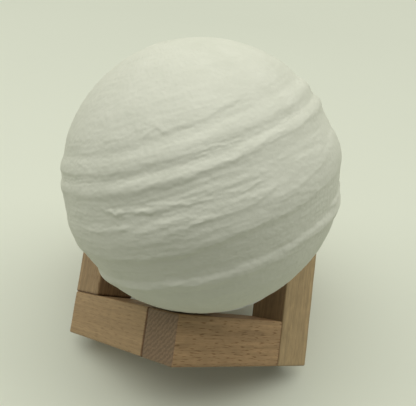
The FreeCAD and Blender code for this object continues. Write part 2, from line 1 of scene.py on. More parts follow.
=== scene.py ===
"""Looks of the planet lamp: a printed globe with banded relief on a ring of beech sticks.

Everything is in metres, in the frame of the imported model: +Z up, origin on the floor.
The globe is drawn about its own centre with the planet's axis along Z, and each stick along
its own X axis, and then both are moved to their places in the frame.
"""
import json
import math

import bmesh
import bpy
import numpy as np
from mathutils import Matrix, Quaternion, Vector


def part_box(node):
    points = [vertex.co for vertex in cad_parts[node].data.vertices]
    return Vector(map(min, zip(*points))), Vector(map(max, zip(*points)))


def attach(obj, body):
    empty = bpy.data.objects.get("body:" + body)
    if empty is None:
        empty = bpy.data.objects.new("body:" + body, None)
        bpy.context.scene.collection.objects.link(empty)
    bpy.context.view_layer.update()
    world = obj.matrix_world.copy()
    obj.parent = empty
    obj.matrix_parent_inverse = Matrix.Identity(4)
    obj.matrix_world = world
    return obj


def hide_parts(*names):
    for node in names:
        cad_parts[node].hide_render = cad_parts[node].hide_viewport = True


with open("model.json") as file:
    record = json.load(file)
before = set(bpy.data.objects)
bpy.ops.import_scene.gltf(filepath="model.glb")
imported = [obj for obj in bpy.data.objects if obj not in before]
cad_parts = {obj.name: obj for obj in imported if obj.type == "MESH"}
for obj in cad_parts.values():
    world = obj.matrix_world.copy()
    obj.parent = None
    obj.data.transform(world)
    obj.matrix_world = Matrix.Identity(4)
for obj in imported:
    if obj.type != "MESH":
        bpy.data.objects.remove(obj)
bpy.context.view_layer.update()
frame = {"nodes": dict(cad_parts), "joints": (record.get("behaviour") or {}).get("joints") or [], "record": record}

MM = 0.001

# Camera, fitted to the photograph's frame
IMAGE_WIDTH = 416
FOCAL_PIXELS = 521.2
SENSOR_WIDTH = 36.0
CAMERA_PLACE = Vector((0.02068, -0.1707, 0.26525))
CAMERA_AIM = Vector((0.00447, -0.00387, 0.09))
CAMERA_ROLL = math.radians(3.21)

# Ring stand, as in the part's source
STICK_WIDTH = 22.0 * MM
STICK_LENGTH = 68.0 * MM
FOOT_TRIM = 2.0 * MM
ARRIS = 0.8 * MM

# Globe, as in the part's source
BASE_CUT = 7.7 * MM
GLOBE_WALL = 2.6 * MM
OPENING_RADIUS = 20.05 * MM
COLLAR_WALL = 6.5 * MM
COLLAR_HEIGHT = 7.0 * MM
SEAT_GAP = 0.3 * MM

# Where the globe sits and leans, from the joint that the plug turns on
twist = next(joint for joint in frame["joints"] if joint["name"] == "plug_twist")
globe_centre = Vector(twist["pos_m"])
pole = Vector(twist["axis"])
globe_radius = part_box("globe_shell")[1].z - globe_centre.z
lean = Vector((0, 0, 1)).rotation_difference(pole).to_matrix().to_4x4()
globe_place = Matrix.Translation(globe_centre) @ lean


# Mesh helpers

def add_piece(name, mesh, material):
    """A smooth object with one material."""
    mesh.polygons.foreach_set("use_smooth", [True] * len(mesh.polygons))
    mesh.materials.append(material)
    mesh.update()
    piece = bpy.data.objects.new(name, mesh)
    bpy.context.scene.collection.objects.link(piece)
    return piece


def new_mesh(name, points, faces):
    """A mesh from its points and the numbers of each face's points."""
    mesh = bpy.data.meshes.new(name)
    mesh.from_pydata([tuple(point) for point in points], [], faces)
    return mesh


def smoothstep(low, high, values):
    """Rises smoothly from 0 to 1 between two limits."""
    share = np.clip((values - low) / (high - low), 0.0, 1.0)
    return share * share * (3.0 - 2.0 * share)


# Random fields on the globe

def lattice_noise(columns, rows, seed, column, row):
    """Smooth random values from -1 to 1 on a lattice whose columns close up into a ring."""
    lattice = np.random.default_rng(seed).uniform(-1.0, 1.0, (rows + 2, columns))
    row = np.clip(row, 0.0, rows - 1e-6)
    left = np.floor(column).astype(int)
    low = np.floor(row).astype(int)
    across = smoothstep(0.0, 1.0, column - left)
    upward = smoothstep(0.0, 1.0, row - low)
    near = left % columns
    far = (left + 1) % columns
    bottom = lattice[low, near] * (1 - across) + lattice[low, far] * across
    top = lattice[low + 1, near] * (1 - across) + lattice[low + 1, far] * across
    return bottom * (1 - upward) + top * upward


def globe_noise(longitude, latitude, length, height, seed):
    """Random values on the globe whose patches are length by height degrees."""
    columns = max(int(360 / length), 3)
    rows = int(180 / height) + 1
    column = (longitude / 360 % 1) * columns
    return lattice_noise(columns, rows, seed, column, (latitude + 90) / height)


def streaks(longitude, latitude, length, height, seed, layers):
    """Layered random values, finer and weaker from layer to layer."""
    total = np.zeros_like(latitude)
    strength = 1.0
    for layer in range(layers):
        total += strength * globe_noise(longitude, latitude, length, height, seed + layer)
        length = length / 2
        height = height / 2
        strength = strength / 2
    return total


# Belts of the globe

# Course of the main ridge's crest round the globe: longitude and latitude
MAIN_COURSE = ((-133, 16.0), (-102, 14.6), (-77, 15.0), (-58, 15.2), (-39, 16.2), (-2, 17.6))
# How far the low ridge runs north of its place in the cross-section: longitude and degrees
LOW_COURSE = ((-130, 1.2), (-106, 1.4), (-97, 2.2), (-89, 1.4), (-73, 0.7), (-62, 0.8),
              (-52, -0.4), (-43, 0.4), (-20, 0.4))
# Latitudes between which that course fades out to the north
LOW_COURSE_FADE = (-18, -8)
# Cross-section of the belts: degrees north of the main crest, height in mm
BELTS = (
    (80, -0.25), (52, -0.25), (34, -0.10), (24, 0.10), (20, 0.16), (18, 0.12), (16, 0.04),
    (14, -0.08), (13, -0.05), (12, 0.06), (10, 0.48), (9, 0.60), (8, 0.60), (7, 0.50),
    (5, 0.17), (4, 0.04), (3.5, 0.06), (2, 0.46), (1, 0.64), (0, 0.72), (-0.5, 0.68),
    (-2, 0.33), (-3, 0.19), (-5, 0.05), (-6, 0.07), (-8, 0.18), (-9.5, 0.17), (-10.5, 0.24),
    (-12, 0.47), (-14, 0.80), (-16, 1.00), (-18, 1.09), (-20, 1.10), (-23, 1.06),
    (-24.4, 0.97), (-26.6, 0.42), (-30, 0.20), (-33, 0.02), (-36.5, -0.10), (-37.8, 0.05),
    (-40.2, 1.12), (-41.2, 1.24), (-42.6, 1.06), (-45, 0.68), (-47, 0.62), (-52, 0.60),
    (-57, 0.52), (-62, 0.28), (-68, 0.0),
)
# How its bends are rounded, in degrees: step between samples, reach and width of the rounding
SECTION_STEP = 0.1
BEND_REACH = 1.5
BEND_WIDTH = 0.55
# How strong the belts are round the globe: longitude and factor
BELT_STRENGTH = ((-165, 1.3), (-140, 1.1), (-125, 0.95), (-80, 1.08), (-60, 0.95), (-38, 0.82),
                 (-15, 1.4), (20, 1.6), (80, 1.3))
# How that strength varies: share, length and height of a patch in degrees, and seed
BELT_PATCHES = (0.2, 24, 8, 20)
# How far the globe's middle lies out of true, in mm, and towards which longitude
OUT_OF_TRUE = (0.25, 17.0)

# Slow drift of the relief to the south and north: degrees, length and height of a patch, and seed
DRIFT = ((0.5, 40, 20, 1), (0.35, 14, 8, 2))
# Ragged edges of the relief: degrees, length and height of a patch, seed, and number of layers
RAGGED = ((0.5, 6, 2.0, 3, 3), (0.4, 2.2, 1.1, 6, 3))
# Least share of the raggedness, in the south, and the latitudes between which it grows to the full
LEAST_RAGGED = 0.4
RAGGED_GROWTH = (-20, -9)
# How much belts, lips and steps follow the drift and the ragged edges
BELT_DRIFT = 0.5
BELT_RAGGED = 0.4
LIP_RAGGED = 0.95
STEP_RAGGED = 0.9

# Ridges that begin and end: courses of (longitude, latitude), rise in mm, and fall-off to the north
# and the south in degrees
LIPS = (
    (((-125, 29.8), (-116, 29.2), (-108, 28.8)), 0.18, 1.6, 0.75),
    (((-110, 32.8), (-101, 31.8), (-92, 32.2)), 0.20, 1.6, 0.75),
    (((-105, 29.8), (-99, 29.2), (-93, 29.6)), 0.17, 1.2, 0.75),
    (((-91, 29.6), (-87.5, 31.4), (-83.5, 32.6), (-80, 30.4), (-77, 29.8)), 0.22, 1.6, 0.75),
    (((-80, 30.6), (-76, 31.4), (-72, 30.1), (-64.5, 30.2), (-58, 31.8), (-45, 32.8)),
     0.22, 2.2, 0.9),
    (((-142, 23.2), (-120, 22.2), (-105, 21.2), (-90, 20.8)), 0.16, 1.6, 0.75),
    (((-94, 21.4), (-80, 20.9), (-64, 20.7)), 0.11, 1.1, 0.75),
    (((-90, 19.6), (-76, 19.4), (-66, 19.2), (-52, 20.2)), 0.13, 0.7, 0.75),
    (((-66, 21.2), (-48, 22.5), (-34, 23.3), (-16, 24.2)), 0.14, 1.4, 0.75),
    (((-112, 11.4), (-98, 12.2), (-90, 13.4), (-80, 14.2), (-72, 14.1), (-64, 14.6), (-44, 15.9),
      (-10, 17.0)), 0.13, 1.3, 0.8),
    (((-84, 14.2), (-72, 14.1), (-62, 14.7), (-50, 15.4), (-34, 16.4)), 0.08, 1.4, 0.8),
    (((-114, 10.4), (-110, 8.7), (-106, 7.4), (-98, 7.0), (-92, 6.4), (-83, 5.8)),
     0.44, 1.0, 0.75),
    (((-96, 9.6), (-91, 8.3), (-86, 7.0), (-80, 5.9)), 0.18, 0.6, 0.75),
    (((-88, 6.5), (-78, 5.6), (-70, 5.0), (-60, 4.6), (-47, 5.2)), 0.24, 1.0, 0.75),
    (((-83, 8.8), (-70, 8.1), (-58, 7.7), (-46, 8.5)), 0.14, 1.0, 0.8),
    (((-48, 4.2), (-36, 4.8), (-20, 5.4), (4, 5.0)), 0.26, 2.2, 2.4),
    (((-127, 2.4), (-112, 2.0), (-97, 2.2)), 0.30, 1.7, 0.9),
    (((-95, -2.3), (-80, -1.2), (-68, -0.8), (-58, -0.2), (-51, 0.9), (-45, 2.2)),
     0.24, 2.0, 0.8),
    (((-57, -4.5), (-43, -3.4), (-37, -1.4), (-29, 0.2), (-16, 2.0)), 0.17, 2.2, 1.0),
    (((-44, -4.0), (-36, -6.2), (-28, -8.2)), 0.14, 1.0, 0.8),
    (((-108, -4.0), (-84, -5.2), (-64, -4.6)), 0.12, 1.4, 0.8),
    (((-124, -9.2), (-113, -10.8), (-100, -10.6), (-88, -10.4), (-78, -9.8), (-60, -8.6),
      (-42, -9.0), (-20, -8.7)), 0.28, 2.6, 0.95),
    (((-114, -21.6), (-104, -22.0), (-96, -23.2), (-88, -22.6), (-78, -23.5), (-64, -23.2)),
     0.14, 0.6, 0.9),
    (((-76, -22.6), (-62, -23.4), (-48, -22.6), (-36, -22.0), (-18, -22.3)), 0.14, 0.6, 1.0),
    (((-126, -23.4), (-111, -24.4), (-104, -24.2), (-97, -23.7), (-89, -24.6), (-78, -25.0)),
     0.34, 1.5, 0.9),
    (((-100, -26.2), (-86, -26.8), (-72, -26.4), (-58, -26.8)), 0.10, 1.2, 0.8),
    (((-24, -19.4), (-12, -18.4), (-2, -17.6), (8, -17.0), (22, -16.6)), 0.9, 1.1, 3.0),
    (((-105, -0.4), (-100, 0.0), (-95, 0.6), (-90, 1.1), (-84, 0.8), (-78, -1.2), (-68, -1.4)),
     0.25, 1.5, 0.9),
)
# Shares of a lip's length over which it begins and ends
LIP_START = (0.0, 0.2)
LIP_END = (0.75, 1.0)
# How the lips are broken: share of the rise, length and height of a patch, seed, number of layers
LIP_BREAKS = (0.45, 5, 2.5, 70, 2)
# How the lips are moved to the hidden side: seed, turn and shift in degrees
BACK_SEED = 7
BACK_TURN = (150, 210)
BACK_SHIFT = (-1.5, 1.5)

# Small oval dimples: longitude, latitude
DIMPLES = ((-101, -23.6), (-48, -22.6), (64, -23.2))
# Their depth in mm, and their length and height in degrees
DIMPLE_DEPTH = 0.28
DIMPLE_LENGTH = 2.2
DIMPLE_HEIGHT = 0.9


def back_lips():
    """The same lips once more on the hidden side, each moved round by its own amount."""
    random = np.random.default_rng(BACK_SEED)
    moved = []
    for course, rise, north, south in LIPS:
        turn = random.uniform(*BACK_TURN)
        shift = random.uniform(*BACK_SHIFT)
        hidden = tuple((longitude + turn, latitude + shift) for longitude, latitude in course)
        moved.append((hidden, rise, north, south))
    return tuple(moved)


def ridge_shape(offset, north, south):
    """A rounded crest that falls off differently to the north and the south."""
    width = np.where(offset > 0, north, south)
    return np.exp(-(offset / width) ** 2)


def cross_section(offset):
    """Height of the belts in mm at an offset from the main crest, with their bends rounded."""
    places, levels = zip(*reversed(BELTS))
    fine = np.arange(places[0], places[-1], SECTION_STEP)
    around = np.arange(-BEND_REACH, BEND_REACH + SECTION_STEP, SECTION_STEP)
    weights = np.exp(-(around / BEND_WIDTH) ** 2)
    heights = np.convolve(np.interp(fine, places, levels), weights / weights.sum(), "same")
    return np.interp(offset, fine, heights)


def belt_height(longitude, latitude, drift, ragged):
    """Height of the belts in mm, on a globe that lies a little out of true."""
    crest = np.interp(longitude, *zip(*MAIN_COURSE), period=360)
    low_course = np.interp(longitude, *zip(*LOW_COURSE), period=360)
    crest = crest + low_course * (1 - smoothstep(*LOW_COURSE_FADE, latitude))
    share, *patch = BELT_PATCHES
    strength = np.interp(longitude, *zip(*BELT_STRENGTH), period=360)
    strength = strength * (1 + share * globe_noise(longitude, latitude, *patch))
    offset = latitude - crest - BELT_DRIFT * drift - BELT_RAGGED * ragged
    shift, towards = OUT_OF_TRUE
    out_of_true = shift * np.cos(np.radians(latitude)) * np.cos(np.radians(longitude - towards))
    return strength * cross_section(offset) + out_of_true


def lip_heights(longitude, latitude, ragged):
    """Height of one lip after the other, in mm."""
    share, *patch = LIP_BREAKS
    broken = 1 + share * streaks(longitude, latitude, *patch)
    for course, rise, north, south in LIPS + back_lips():
        places, levels = zip(*course)
        along = (longitude - places[0]) % 360 + places[0]
        centre = np.interp(along, places, levels)
        passed = (along - places[0]) / (places[-1] - places[0])
        ends = smoothstep(*LIP_START, passed) * (1 - smoothstep(*LIP_END, passed))
        offset = latitude - centre - LIP_RAGGED * ragged
        yield rise * ends * broken * ridge_shape(offset, north, south)


def dimple_heights(longitude, latitude):
    """Height of one dimple after the other, in mm below the surface."""
    for place, level in DIMPLES:
        along = ((longitude - place + 180) % 360 - 180) / DIMPLE_LENGTH
        upward = (latitude - level) / DIMPLE_HEIGHT
        yield -DIMPLE_DEPTH * np.exp(-along ** 2 - upward ** 2)


# Fine relief of the globe

# Low steps: rise in mm everywhere, further rise where they are flaky, and distance in degrees
STEP_RISE = 0.02
FLAKY_RISE = 0.09
STEP_PERIOD = 2.3
# Share of a step that its sharp edge takes, and the level that a step's height is counted from
STEP_EDGE = 0.16
STEP_MIDDLE = 0.42
# How the steps wind: degrees, length and height of a patch, and seed
STEP_WAVES = (2.4, 22, 9, 60)
# Where they show: length and height of a patch, seed, and the random values between which they come
STEP_PATCHES = (16, 4, 61)
STEP_SHOWN = (-0.5, 0.5)
# Latitudes between which the flaky zone begins in the south and ends in the north
FLAKY_SOUTH = (-14, -9)
FLAKY_NORTH = (10, 14)
# Longitude where the steps are flakiest, as they are opposite to it, how flaky they are at least, and
# the cosines between which that grows to the full
FLAKY_LONGITUDE = -105
LEAST_FLAKY = 0.4
FLAKY_GROWTH = (-0.3, 0.6)
# Finer steps in the groove north of the main ridge: latitude, width, distance in degrees, rise in mm
GROOVE_LATITUDE = 20.3
GROOVE_WIDTH = 2.2
GROOVE_PERIOD = 1.4
GROOVE_RISE = 0.20

# Streaks and grain: rise in mm, length and height of a patch in degrees, seed, and number of layers
LONG_STREAKS = (0.06, 16, 1.6, 30, 4)
SHORT_STREAKS = (0.030, 3.6, 2.2, 50, 2)
GRAIN = (0.055, 1.5, 1.0, 54, 2)
# How much the long streaks follow the drift
STREAK_DRIFT = 1.5
# How much stronger the short streaks and the grain get in the south, and between which latitudes
SOUTH_GAIN = 0.35
SOUTH_GROWTH = (-16, -8)
# The same for the long streaks, lower down
LOWEST_GAIN = 0.9
LOWEST_GROWTH = (-26, -18)


def shingles(latitude, period):
    """Low steps that rise slowly towards the south and end in a sharp edge."""
    share = latitude / period - np.floor(latitude / period)
    return np.minimum(1 - share, share * (1 - STEP_EDGE) / STEP_EDGE) - STEP_MIDDLE


def step_heights(longitude, latitude, drift, ragged):
    """Height of the low steps and then of the finer ones in the groove, in mm."""
    zone = smoothstep(*FLAKY_SOUTH, latitude) * (1 - smoothstep(*FLAKY_NORTH, latitude))
    wave, *patch = STEP_WAVES
    warped = latitude + wave * globe_noise(longitude, latitude, *patch) + STEP_RAGGED * ragged
    shown = smoothstep(*STEP_SHOWN, globe_noise(longitude, latitude, *STEP_PATCHES))
    side = np.cos(np.radians(2 * (longitude - FLAKY_LONGITUDE)))
    flaky = LEAST_FLAKY + (1 - LEAST_FLAKY) * smoothstep(*FLAKY_GROWTH, side)
    yield (STEP_RISE + FLAKY_RISE * zone * flaky) * shown * shingles(warped, STEP_PERIOD)
    groove = ridge_shape(latitude - GROOVE_LATITUDE - drift, GROOVE_WIDTH, GROOVE_WIDTH)
    winding = latitude + STEP_RAGGED * ragged + drift
    yield GROOVE_RISE * groove * shown * shingles(winding, GROOVE_PERIOD)


def streak_heights(longitude, latitude, drift):
    """Height of the long streaks, then of the short ones and of the grain, in mm."""
    lowest = 1 + LOWEST_GAIN * (1 - smoothstep(*LOWEST_GROWTH, latitude))
    rise, *patch = LONG_STREAKS
    yield rise * lowest * streaks(longitude, latitude + STREAK_DRIFT * drift, *patch)
    southern = 1 + SOUTH_GAIN * (1 - smoothstep(*SOUTH_GROWTH, latitude))
    for rise, *patch in (SHORT_STREAKS, GRAIN):
        yield rise * southern * streaks(longitude, latitude, *patch)


def relief(longitude, latitude):
    """Height of the surface above the plain ball, in metres, for arrays of degrees."""
    drift = sum(degrees * globe_noise(longitude, latitude, *patch) for degrees, *patch in DRIFT)
    ragged = sum(degrees * streaks(longitude, latitude, *patch) for degrees, *patch in RAGGED)
    ragged = ragged * (LEAST_RAGGED + (1 - LEAST_RAGGED) * smoothstep(*RAGGED_GROWTH, latitude))
    height = belt_height(longitude, latitude, drift, ragged)
    details = (lip_heights(longitude, latitude, ragged), dimple_heights(longitude, latitude),
               step_heights(longitude, latitude, drift, ragged),
               streak_heights(longitude, latitude, drift))
    for heights in details:
        for detail in heights:
            height += detail
    return height * MM


# Mesh of the globe

GLOBE_COLUMNS = 900
# Rows of the relief: latitude of the top row, the latitudes between which the rows are close together,
# their distance there in degrees, and the number of rows to the north and the south of that
TOP_ROW = 89.6
FINE_NORTH = 36.0
FINE_SOUTH = -30.0
FINE_STEP = 0.36
NORTH_ROWS = 100
SOUTH_ROWS = 50
# Latitudes between which the relief fades out to the pole, and degrees over which it does at the foot
POLE_FADE = (84, 88)
FOOT_FADE = 4
# What the relief leaves of the seat's gap, and the least cosine at which a contact limits it
SEAT_SPARE = 0.1 * MM
LEAST_FACING = 0.2
# Eased edge of the opening, and the top row and the number of rows of the smooth inside
OPENING_EASE = 0.4 * MM
INSIDE_TOP = 88
INSIDE_ROWS = 24


def seat_room(directions):
    """How far the surface may rise before it meets the sticks or passes the lamp's full height, for
    directions from the globe's centre."""
    limits = [((0.0, 0.0, 1.0), globe_radius)]
    aside = math.sqrt(2 / 3)
    below = math.sqrt(1 / 3)
    for turn in range(3):
        angle = math.radians(-90 + 120 * turn)
        contact = (math.cos(angle) * aside, math.sin(angle) * aside, -below)
        limits.append((contact, globe_radius + SEAT_GAP - SEAT_SPARE))
    room = np.full(len(directions), np.inf)
    for contact, reach in limits:
        facing = np.maximum(directions @ np.array(contact), LEAST_FACING)
        room = np.minimum(room, reach / facing - globe_radius)
    return room


def globe_rows():
    """Latitudes of the rows of points, closer together where the relief is fine."""
    lowest = math.degrees(math.asin((BASE_CUT - globe_radius) / globe_radius))
    fine = np.arange(FINE_NORTH, FINE_SOUTH, -FINE_STEP)
    north = np.linspace(TOP_ROW, FINE_NORTH, NORTH_ROWS, endpoint=False)
    south = np.linspace(FINE_SOUTH, lowest, SOUTH_ROWS)
    return np.concatenate([north, fine, south[1:]])


def outside_points(latitudes, longitudes):
    """Rows of points on the relief, from the top down."""
    grid = np.meshgrid(latitudes, longitudes, indexing="ij")
    latitude, longitude = (values.ravel() for values in grid)
    across = np.cos(np.radians(latitude))
    local = np.stack([across * np.cos(np.radians(longitude)), across * np.sin(np.radians(longitude)),
                      np.sin(np.radians(latitude))], axis=1)
    turned = local @ np.array(lean.to_3x3()).T
    foot = smoothstep(latitudes[-1], latitudes[-1] + FOOT_FADE, latitude)
    rise = relief(longitude, latitude) * foot * (1 - smoothstep(*POLE_FADE, latitude))
    rise = np.minimum(rise, seat_room(turned))
    return local * (globe_radius + rise)[:, None]


def inside_profile():
    """Radius and height of the rows from the opening's edge over the collar to the top of the inside."""
    flat = BASE_CUT - globe_radius
    inner_radius = globe_radius - GLOBE_WALL
    collar_radius = OPENING_RADIUS + COLLAR_WALL
    collar_top = flat + COLLAR_HEIGHT
    foot_angle = math.asin(-math.sqrt(1 - (collar_radius / inner_radius) ** 2))
    profile = [(OPENING_RADIUS + OPENING_EASE, flat), (OPENING_RADIUS, flat + OPENING_EASE),
               (OPENING_RADIUS, collar_top), (collar_radius, collar_top),
               (collar_radius, inner_radius * math.sin(foot_angle))]
    for angle in np.linspace(foot_angle, math.radians(INSIDE_TOP), INSIDE_ROWS)[1:]:
        profile.append((inner_radius * math.cos(angle), inner_radius * math.sin(angle)))
    return profile


def make_globe(material):
    """The closed shell of the globe: relief outside, flat below, a collar round the opening and a
    smooth inside."""
    latitudes = globe_rows()
    longitudes = np.arange(GLOBE_COLUMNS) * 360.0 / GLOBE_COLUMNS
    around = np.radians(longitudes)
    profile = inside_profile()
    rings = []
    for radius, height in profile:
        level = np.full(GLOBE_COLUMNS, height)
        rings.append(np.stack([radius * np.cos(around), radius * np.sin(around), level], axis=1))
    tops = [[[0, 0, globe_radius]], [[0, 0, globe_radius - GLOBE_WALL]]]
    points = np.concatenate([outside_points(latitudes, longitudes)] + rings + tops)
    rows = len(latitudes) + len(profile)
    first = np.arange(rows - 1)[:, None] * GLOBE_COLUMNS + np.arange(GLOBE_COLUMNS)[None, :]
    beside = np.roll(first, -1, axis=1)
    quads = np.stack([first, first + GLOBE_COLUMNS, beside + GLOBE_COLUMNS, beside], axis=-1)
    faces = quads.reshape(-1, 4).tolist()
    top = len(points) - 2
    inside_top = len(points) - 1
    last_row = (rows - 1) * GLOBE_COLUMNS
    for column in range(GLOBE_COLUMNS):
        following = (column + 1) % GLOBE_COLUMNS
        faces.append((top, column, following))
        faces.append((inside_top, last_row + following, last_row + column))
    mesh = new_mesh("globe_relief", points, faces)
    mesh.transform(globe_place)
    globe = add_piece("globe_relief", mesh, material)
    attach(globe, "globe")
    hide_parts("globe_shell")


# Sticks of the stand

# Numbers of rows between the arrises, along and across a stick
ROWS_ALONG = 30
ROWS_ACROSS = 9
# Places of the rows over an arris, as shares of it
ARRIS_ROWS = (0.0, 0.25, 0.5, 0.75, 1.0, 1.4)
# Radius of an arris and its variation as shares of the plain one, how fast it varies along and across
# the stick in radians to a metre, and how far on the next stick begins
EASE_MEAN = 1.24
EASE_VARIATION = 0.12
EASE_ALONG = 310
EASE_ACROSS = (520, 470)
EASE_PHASE = 1.7
# Points closer than this are one point, and a coordinate off by less than this isn't off
MERGE_DISTANCE = 0.01 * MM
NOT_OFF = 1e-9


def cube_to_row():
    """Turns the cube's axes so that its body diagonal is upright and one high corner is in front."""
    across = Vector((1, 0, -1)).normalized()
    away = Vector((-1, 2, -1)).normalized()
    upright = Vector((1, 1, 1)).normalized()
    floor_height = STICK_LENGTH / math.sqrt(3) + FOOT_TRIM
    return Matrix.Translation((0, 0, -floor_height)) @ Matrix((across, away, upright)).to_4x4()


def ring_of_sticks():
    """Name, direction, next stick's direction and start corner of each stick, around the ring."""
    edge = STICK_LENGTH + STICK_WIDTH
    x_axis, y_axis, z_axis = Vector((1, 0, 0)), Vector((0, 1, 0)), Vector((0, 0, 1))
    return (
        ("right_foot_stick", -y_axis, z_axis, Vector((edge, STICK_LENGTH, 0))),
        ("right_head_stick", z_axis, -x_axis, Vector((edge, STICK_WIDTH, STICK_WIDTH))),
        ("left_foot_stick", -x_axis, y_axis, Vector((STICK_LENGTH, 0, edge))),
        ("left_head_stick", y_axis, -z_axis, Vector((STICK_WIDTH, STICK_WIDTH, edge))),
        ("rear_foot_stick", -z_axis, x_axis, Vector((0, edge, STICK_LENGTH))),
        ("rear_head_stick", x_axis, -y_axis, Vector((STICK_WIDTH, edge, STICK_WIDTH))),
    )


def stick_place(along, side, start):
    """Where a stick that is drawn along X comes to lie in the frame."""
    third = along.cross(side)
    turn = Matrix((along, side, third)).transposed().to_4x4()
    return cube_to_row() @ Matrix.Translation(start) @ turn


def stations(length, inner_count):
    """Places along one side of a stick, close together over the two arrises."""
    near = [share * ARRIS for share in ARRIS_ROWS]
    middle = list(np.linspace(near[-1], length - near[-1], inner_count))
    return near[:-1] + middle + [length - value for value in reversed(near[:-1])]


def face_grid(mesh, axis, value, grids):
    """A grid of faces on the side of a stick's box where one coordinate has this value."""
    first_axis = (axis + 1) % 3
    second_axis = (axis + 2) % 3
    rows = []
    for first in grids[first_axis]:
        row = []
        for second in grids[second_axis]:
            point = [0.0, 0.0, 0.0]
            point[axis] = value
            point[first_axis] = first
            point[second_axis] = second
            row.append(mesh.verts.new(point))
        rows.append(row)
    for row, next_row in zip(rows, rows[1:]):
        for j in range(len(row) - 1):
            corners = (row[j], next_row[j], next_row[j + 1], row[j + 1])
            mesh.faces.new(corners if value > 0 else corners[::-1])


def rounded_corner(point, sides, phase):
    """Moves a point of the box onto its eased edges, with a radius that varies along them."""
    across = point.y * EASE_ACROSS[0] + point.z * EASE_ACROSS[1]
    wobble = math.sin(point.x * EASE_ALONG + phase) + math.sin(across + phase * 3)
    radius = ARRIS * (EASE_MEAN + EASE_VARIATION * wobble)
    inner = Vector([min(max(value, radius), side - radius) for value, side in zip(point, sides)])
    outward = point - inner
    if sum(1 for value in outward if abs(value) > NOT_OFF) < 2:
        return point
    return inner + outward.normalized() * radius


def make_stick(name, place, material, phase):
    """A stick with eased edges, and trimmed flat on the floor if it is a foot."""
    sides = (STICK_LENGTH, STICK_WIDTH, STICK_WIDTH)
    across = stations(STICK_WIDTH, ROWS_ACROSS)
    grids = (stations(STICK_LENGTH, ROWS_ALONG), across, across)
    mesh = bmesh.new()
    for axis in range(3):
        for value in (0.0, sides[axis]):
            face_grid(mesh, axis, value, grids)
    bmesh.ops.remove_doubles(mesh, verts=mesh.verts, dist=MERGE_DISTANCE)
    for vertex in mesh.verts:
        vertex.co = rounded_corner(vertex.co.copy(), sides, phase)
    if "foot" in name:
        to_stick = place.inverted()
        level = to_stick.to_3x3() @ Vector((0, 0, 1))
        geometry = list(mesh.verts) + list(mesh.edges) + list(mesh.faces)
        bmesh.ops.bisect_plane(mesh, geom=geometry, plane_co=to_stick.translation, plane_no=level,
                               clear_inner=True)
        bmesh.ops.holes_fill(mesh, edges=[edge for edge in mesh.edges if edge.is_boundary])
    data = bpy.data.meshes.new(name + "_wood")
    mesh.to_mesh(data)
    mesh.free()
    data.transform(place)
    piece = add_piece(name + "_wood", data, material)
    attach(piece, "stand")
    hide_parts(name)


# Material helpers

def new_material(name):
    """A material with its shader, a helper that adds nodes and one that links them."""
    material = bpy.data.materials.new(name)
    material.use_nodes = True
    tree = material.node_tree
    shader = tree.nodes["Principled BSDF"]

    def add(kind, inputs=None, **settings):
        node = tree.nodes.new("ShaderNode" + kind)
        for key, value in settings.items():
            setattr(node, key, value)
        for key, value in (inputs or {}).items():
            if isinstance(value, bpy.types.NodeSocket):
                tree.links.new(value, node.inputs[key])
            else:
                node.inputs[key].default_value = value
        return node

    def link(output, socket):
        tree.links.new(output, socket)

    return material, shader, add, link


def ramp(add, factor, stops):
    """A colour ramp over a factor, between two stops of (position, colour)."""
    node = add("ValToRGB", {"Fac": factor})
    for element, (position, colour) in zip(node.color_ramp.elements, stops):
        element.position = position
        element.color = (*colour, 1)
    return node.outputs["Color"]


def mix_colour(add, factor, first, second, blend="MIX"):
    """A mix of two colours, each a tuple or a socket."""
    node = add("Mix", data_type="RGBA", blend_type=blend)
    for index, value in ((0, factor), (6, first), (7, second)):
        if isinstance(value, bpy.types.NodeSocket):
            node.id_data.links.new(value, node.inputs[index])
        elif index == 0:
            node.inputs[index].default_value = value
        else:
            node.inputs[index].default_value = (*value, 1)
    return node.outputs[2]


def grey(level):
    return (level, level, level)


def scaled(colour, factor):
    return tuple(value * factor for value in colour)


def tinted(colour, tint):
    return tuple(share * value for share, value in zip(tint, colour))


# Plastic of the globe

PLASTIC_DARK = (0.705, 0.720, 0.580)
PLASTIC_LIGHT = (0.76, 0.773, 0.630)


def globe_plastic():
    """Matte printed plastic with a fine grain and a faint mottle."""
    material, shader, add, link = new_material("globe_plastic")
    place = add("TexCoord").outputs["Object"]
    mottle = add("TexNoise", {"Vector": place, "Scale": 90.0, "Detail": 4.0, "Roughness": 0.6})
    colour = ramp(add, mottle.outputs["Fac"], [(0.3, PLASTIC_DARK), (0.7, PLASTIC_LIGHT)])
    link(colour, shader.inputs["Base Color"])
    noise = add("TexNoise", {"Vector": place, "Scale": 900.0, "Detail": 3.0, "Roughness": 0.65})
    grain = noise.outputs["Fac"]
    roughness = ramp(add, grain, [(0.3, grey(0.62)), (0.7, grey(0.80))])
    link(roughness, shader.inputs["Roughness"])
    bump = add("Bump", {"Height": grain, "Strength": 0.25, "Distance": 0.25 * MM})
    link(bump.outputs["Normal"], shader.inputs["Normal"])
    shader.inputs["Specular IOR Level"].default_value = 0.35
    return material


# Beech of the sticks

# Its mean colour, the multipliers of a ray fleck and of a glued seam, whose darkening is partly a glue line and
# partly painted shade of the joint's groove, and its end grain
BEECH = (0.428, 0.294, 0.149)
FLECK_TINT = (0.50, 0.40, 0.32)
SEAM_GLUE_AND_SHADE = (0.34, 0.25, 0.20)
END_GRAIN = (0.265, 0.188, 0.112)
# Painted shade: multiplier that darkens the faces that look into the ring, where the globe's shadow falls, and the
# cosines between which a face turns to it
INNER_PAINTED_SHADE = (0.87, 0.80, 0.82)
PAINTED_SHADE_FACING = (-0.4, -0.1)
# Distances from the stick's glued end between which the seam's glue line and painted shade fade out
SEAM_FROM = 0.4 * MM
SEAM_TO = 1.4 * MM
